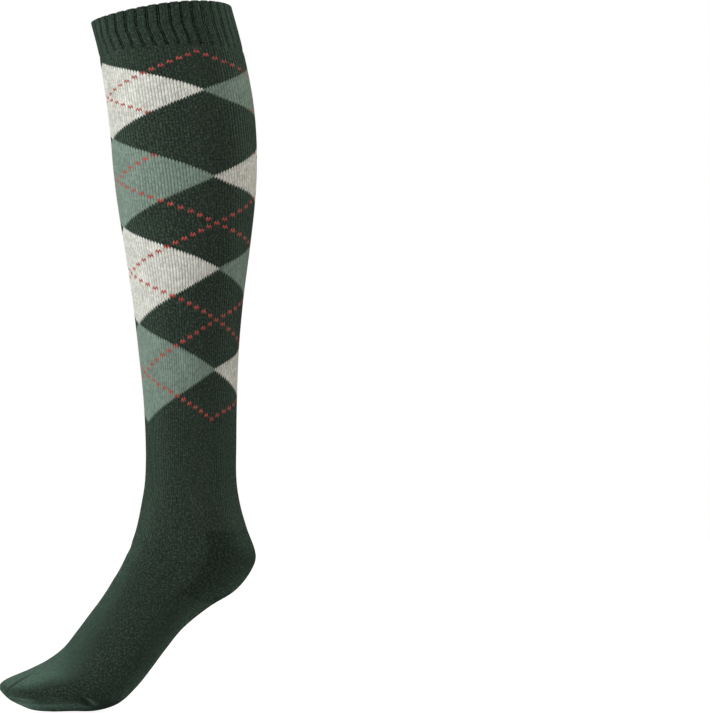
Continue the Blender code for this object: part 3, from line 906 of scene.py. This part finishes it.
class KnitLeg(bpy.types.Operator):
    """Knit the patterned leg"""

    bl_idname = "sock.knit_leg"
    bl_label = "Knit Leg"

    def execute(self, context):
        sizes, knit, colours = settings(context)
        form = Form(sizes)
        first = sizes.cuff_height + np.array(UNDER_CUFF)
        places = np.concatenate((first, np.linspace(sizes.cuff_height + LEG_START, form.ankle, LEG_RINGS)))
        count = knit.wales * LEG_WALE_POINTS
        turns = column_turns(len(places), count)
        stitches = form.stitches(places, np.arange(count + 1) / count, knit.wales)
        fade = np.clip((form.ankle - places) / LEG_FADE, 0, 1)
        relief = wale_relief(stitches, knit) * fade[:, None]
        relief += neck_relief(form, places, turns, knit) + fold_relief(form, places, turns)
        outer, inner = wall_sides(form.points(places, turns), relief, sizes.leg_wall)
        mesh = shell_mesh("leg_knit", outer, inner, stitches, True)
        place_piece(context, mesh, "leg", knit, colours, patterned=True)
        return {"FINISHED"}


class KnitHeel(bpy.types.Operator):
    """Knit the heel pocket, whose courses fan out from its sides"""

    bl_idname = "sock.knit_heel"
    bl_label = "Knit Heel"

    def execute(self, context):
        sizes, knit, colours = settings(context)
        form = Form(sizes)
        places = np.linspace(form.ankle, form.ankle + sizes.heel_run, POCKET_RINGS)
        turns = np.tile(np.linspace(0.25, 0.75, knit.wales + 1), (len(places), 1))
        points = form.points(places, turns)
        folds = fold_relief(form, places, turns)
        outer, inner = wall_sides(points, folds, sizes.toe_wall, closed=False)
        steps = np.linalg.norm(np.diff(points, axis=0), axis=2)
        run = np.concatenate((np.zeros((1, points.shape[1])), np.cumsum(steps, axis=0)))
        stitches = form.stitches(places, turns[0], knit.wales)
        stitches[:, :, 1] += run / knit.course_pitch
        mesh = shell_mesh("heel_knit", outer, inner, stitches, False)
        # depth 0.60 is painted shade: the heel's yarn is darkened where the heel turns from the light.
        place_piece(context, mesh, "heel", knit, colours, depth=0.60)
        return {"FINISHED"}


class KnitFoot(bpy.types.Operator):
    """Knit the instep and the sole"""

    bl_idname = "sock.knit_foot"
    bl_label = "Knit Foot"

    def execute(self, context):
        sizes, knit, colours = settings(context)
        form = Form(sizes)
        pocket_end = form.ankle + sizes.heel_run
        pocket = np.linspace(form.ankle, pocket_end, POCKET_RINGS)
        rest = np.linspace(pocket_end, form.length - sizes.toe_run, FOOT_RINGS)
        places = np.concatenate((pocket, rest[1:]))
        count = knit.wales * FOOT_WALE_POINTS
        turns = column_turns(len(places), count)
        folds = fold_relief(form, places, turns)
        outer, inner = wall_sides(form.points(places, turns), folds, sizes.foot_wall)
        stitches = form.stitches(places, np.arange(count + 1) / count, knit.wales)
        stitches[:, :, 1] += ((places - places[0]) / knit.course_pitch)[:, None]
        row = np.arange(len(places) - 1)[:, None]
        column = np.arange(count)[None, :]
        missing = (row < len(pocket) - 1) & (column >= count // 4) & (column < count - count // 4)
        mesh = shell_mesh("foot_knit", outer, inner, stitches, True, missing=missing)
        place_piece(context, mesh, "foot", knit, colours)
        return {"FINISHED"}


class KnitToe(bpy.types.Operator):
    """Knit the toe cap, whose wales run straight and end in lines at its sides"""

    bl_idname = "sock.knit_toe"
    bl_label = "Knit Toe"

    def execute(self, context):
        sizes, knit, colours = settings(context)
        form = Form(sizes)
        start = form.length - sizes.toe_run
        share = np.sin(np.linspace(0, math.pi / 2, TOE_RINGS))
        places = start + sizes.toe_run * share
        count = knit.wales * FOOT_WALE_POINTS
        turns = column_turns(len(places), count)
        points = form.points(places, turns)
        outer, inner = wall_sides(points, fold_relief(form, places, turns), sizes.toe_wall)
        inner[-1] = mix(inner[-1], inner[-1].mean(axis=0), TIP_DRAW)
        round_steps = np.linalg.norm(np.roll(points, -1, axis=1) - points, axis=2)
        girth = round_steps.sum(axis=1)
        turn = np.arange(count + 1) / count
        quarter = np.where(turn < 0.25, turn, np.where(turn < 0.75, turn - 0.5, turn - 1.0))
        home = np.where(turn < 0.25, 0.0, np.where(turn < 0.75, 0.5, 1.0)) * knit.wales
        before = start - form.ankle
        courses = form.read(form.ankle, "course") + (before + places - start) / knit.course_pitch
        stitches = np.zeros((len(places), count + 1, 2))
        stitches[:, :, 0] = home[None, :] + quarter[None, :] * knit.wales * (girth / girth[0])[:, None]
        stitches[:, :, 0] -= form.read(start, "side") * knit.wales
        stitches[:, :, 1] = courses[:, None]
        outer_tip = outer[-1].mean(axis=0) + np.array((-TIP_RISE, 0, 0))
        inner_tip = inner[-1].mean(axis=0) + np.array((sizes.toe_wall, 0, 0))
        mesh = shell_mesh("toe_knit", outer, inner, stitches, True, tip=(outer_tip, inner_tip))
        place_piece(context, mesh, "toe", knit, colours)
        return {"FINISHED"}


class BuildStudio(bpy.types.Operator):
    """Set the pale floor, the even sky, the soft lights and the camera"""

    bl_idname = "sock.build_studio"
    bl_label = "Build Studio"

    def execute(self, context):
        studio = context.scene.sock_studio
        self.floor(context, PACKED_BOX[0][2] - FLOOR_GAP)
        self.sky(context, studio)
        middle = Vector(SOCK_MIDDLE)
        for row in LAMP_ROWS:
            self.lamp(context, row, middle, studio.key)
        self.camera(context, studio, middle)
        return {"FINISHED"}

    def floor(self, context, height):
        bpy.ops.mesh.primitive_circle_add(vertices=96, radius=FLOOR_RADIUS, fill_type="NGON",
                                          location=(0, 0, height))
        floor = context.object
        floor.name = "studio_floor"
        material = bpy.data.materials.new("pale_floor")
        material.use_nodes = True
        shader = material.node_tree.nodes["Principled BSDF"]
        for socket, value in FLOOR_FINISH.items():
            shader.inputs[socket].default_value = value
        seen = material.node_tree.nodes.new("ShaderNodeLightPath")
        lift = material.node_tree.nodes.new("ShaderNodeMath")
        lift.operation = "MULTIPLY"
        lift.inputs[1].default_value = FLOOR_GLOW
        material.node_tree.links.new(seen.outputs["Is Camera Ray"], lift.inputs[0])
        material.node_tree.links.new(lift.outputs[0], shader.inputs["Emission Strength"])
        floor.data.materials.append(material)

    def sky(self, context, studio):
        world = bpy.data.worlds.new("even_sky")
        context.scene.world = world
        world.use_nodes = True
        tree = world.node_tree
        light = tree.nodes["Background"]
        light.inputs["Color"].default_value = SKY_TINT
        light.inputs["Strength"].default_value = studio.fill
        backdrop = tree.nodes.new("ShaderNodeBackground")
        backdrop.inputs["Color"].default_value = (1.0, 1.0, 1.0, 1.0)
        backdrop.inputs["Strength"].default_value = studio.backdrop
        seen = tree.nodes.new("ShaderNodeLightPath")
        choose = tree.nodes.new("ShaderNodeMixShader")
        tree.links.new(seen.outputs["Is Camera Ray"], choose.inputs[0])
        tree.links.new(light.outputs[0], choose.inputs[1])
        tree.links.new(backdrop.outputs[0], choose.inputs[2])
        tree.links.new(choose.outputs[0], tree.nodes["World Output"].inputs["Surface"])
        context.scene.view_settings.view_transform = "Standard"

    def lamp(self, context, row, middle, power):
        data = bpy.data.lights.new(row.name, "AREA")
        data.shape = "DISK"
        data.size = LAMP_SIZE
        data.energy = power * row.share
        data.color = row.tint
        lamp = bpy.data.objects.new(row.name, data)
        lamp.location = middle + Vector(row.offset)
        lamp.rotation_euler = (middle - lamp.location).to_track_quat("-Z", "Y").to_euler()
        context.scene.collection.objects.link(lamp)

    def camera(self, context, studio, middle):
        look = Vector((math.sin(studio.azimuth), math.cos(studio.azimuth), 0.0))
        right = Vector((math.cos(studio.azimuth), -math.sin(studio.azimuth), 0.0))
        data = bpy.data.cameras.new("studio_camera")
        data.sensor_fit = "HORIZONTAL"
        data.angle = studio.view_angle
        camera = bpy.data.objects.new("studio_camera", data)
        camera.location = middle - look * studio.distance
        aim = look * math.cos(studio.aim_off) + right * math.sin(studio.aim_off)
        camera.rotation_euler = aim.to_track_quat("-Z", "Y").to_euler()
        context.scene.collection.objects.link(camera)
        context.scene.camera = camera


class SockPanel(bpy.types.Panel):
    """Sizes, yarns and steps of the sock"""

    bl_idname = "VIEW3D_PT_knitted_sock"
    bl_label = "Riding Sock"
    bl_space_type = "VIEW_3D"
    bl_region_type = "UI"
    bl_category = "Knitwear"

    def draw(self, context):
        for group in (context.scene.sock_sizes, context.scene.sock_knit, context.scene.sock_yarns,
                      context.scene.sock_studio):
            box = self.layout.box()
            for name in group.bl_rna.properties.keys():
                if name not in ("rna_type", "name"):
                    box.prop(group, name)
        for operator in STEPS:
            self.layout.operator(operator.bl_idname)


STEPS = (KnitCuff, KnitLeg, KnitHeel, KnitFoot, KnitToe, BuildStudio)
GROUPS = {
    "sock_sizes": SockSizes,
    "sock_knit": KnitSettings,
    "sock_yarns": YarnColours,
    "sock_studio": StudioSettings,
}


def register():
    for item in (*GROUPS.values(), *STEPS, SockPanel):
        bpy.utils.register_class(item)
    for name, group in GROUPS.items():
        setattr(bpy.types.Scene, name, bpy.props.PointerProperty(type=group))


def unregister():
    for name in GROUPS:
        delattr(bpy.types.Scene, name)
    for item in reversed((*GROUPS.values(), *STEPS, SockPanel)):
        bpy.utils.unregister_class(item)


def main():
    register()
    bpy.ops.sock.knit_cuff()
    bpy.ops.sock.knit_leg()
    bpy.ops.sock.knit_heel()
    bpy.ops.sock.knit_foot()
    bpy.ops.sock.knit_toe()
    bpy.ops.sock.build_studio()


if __name__ == "__main__":
    main()
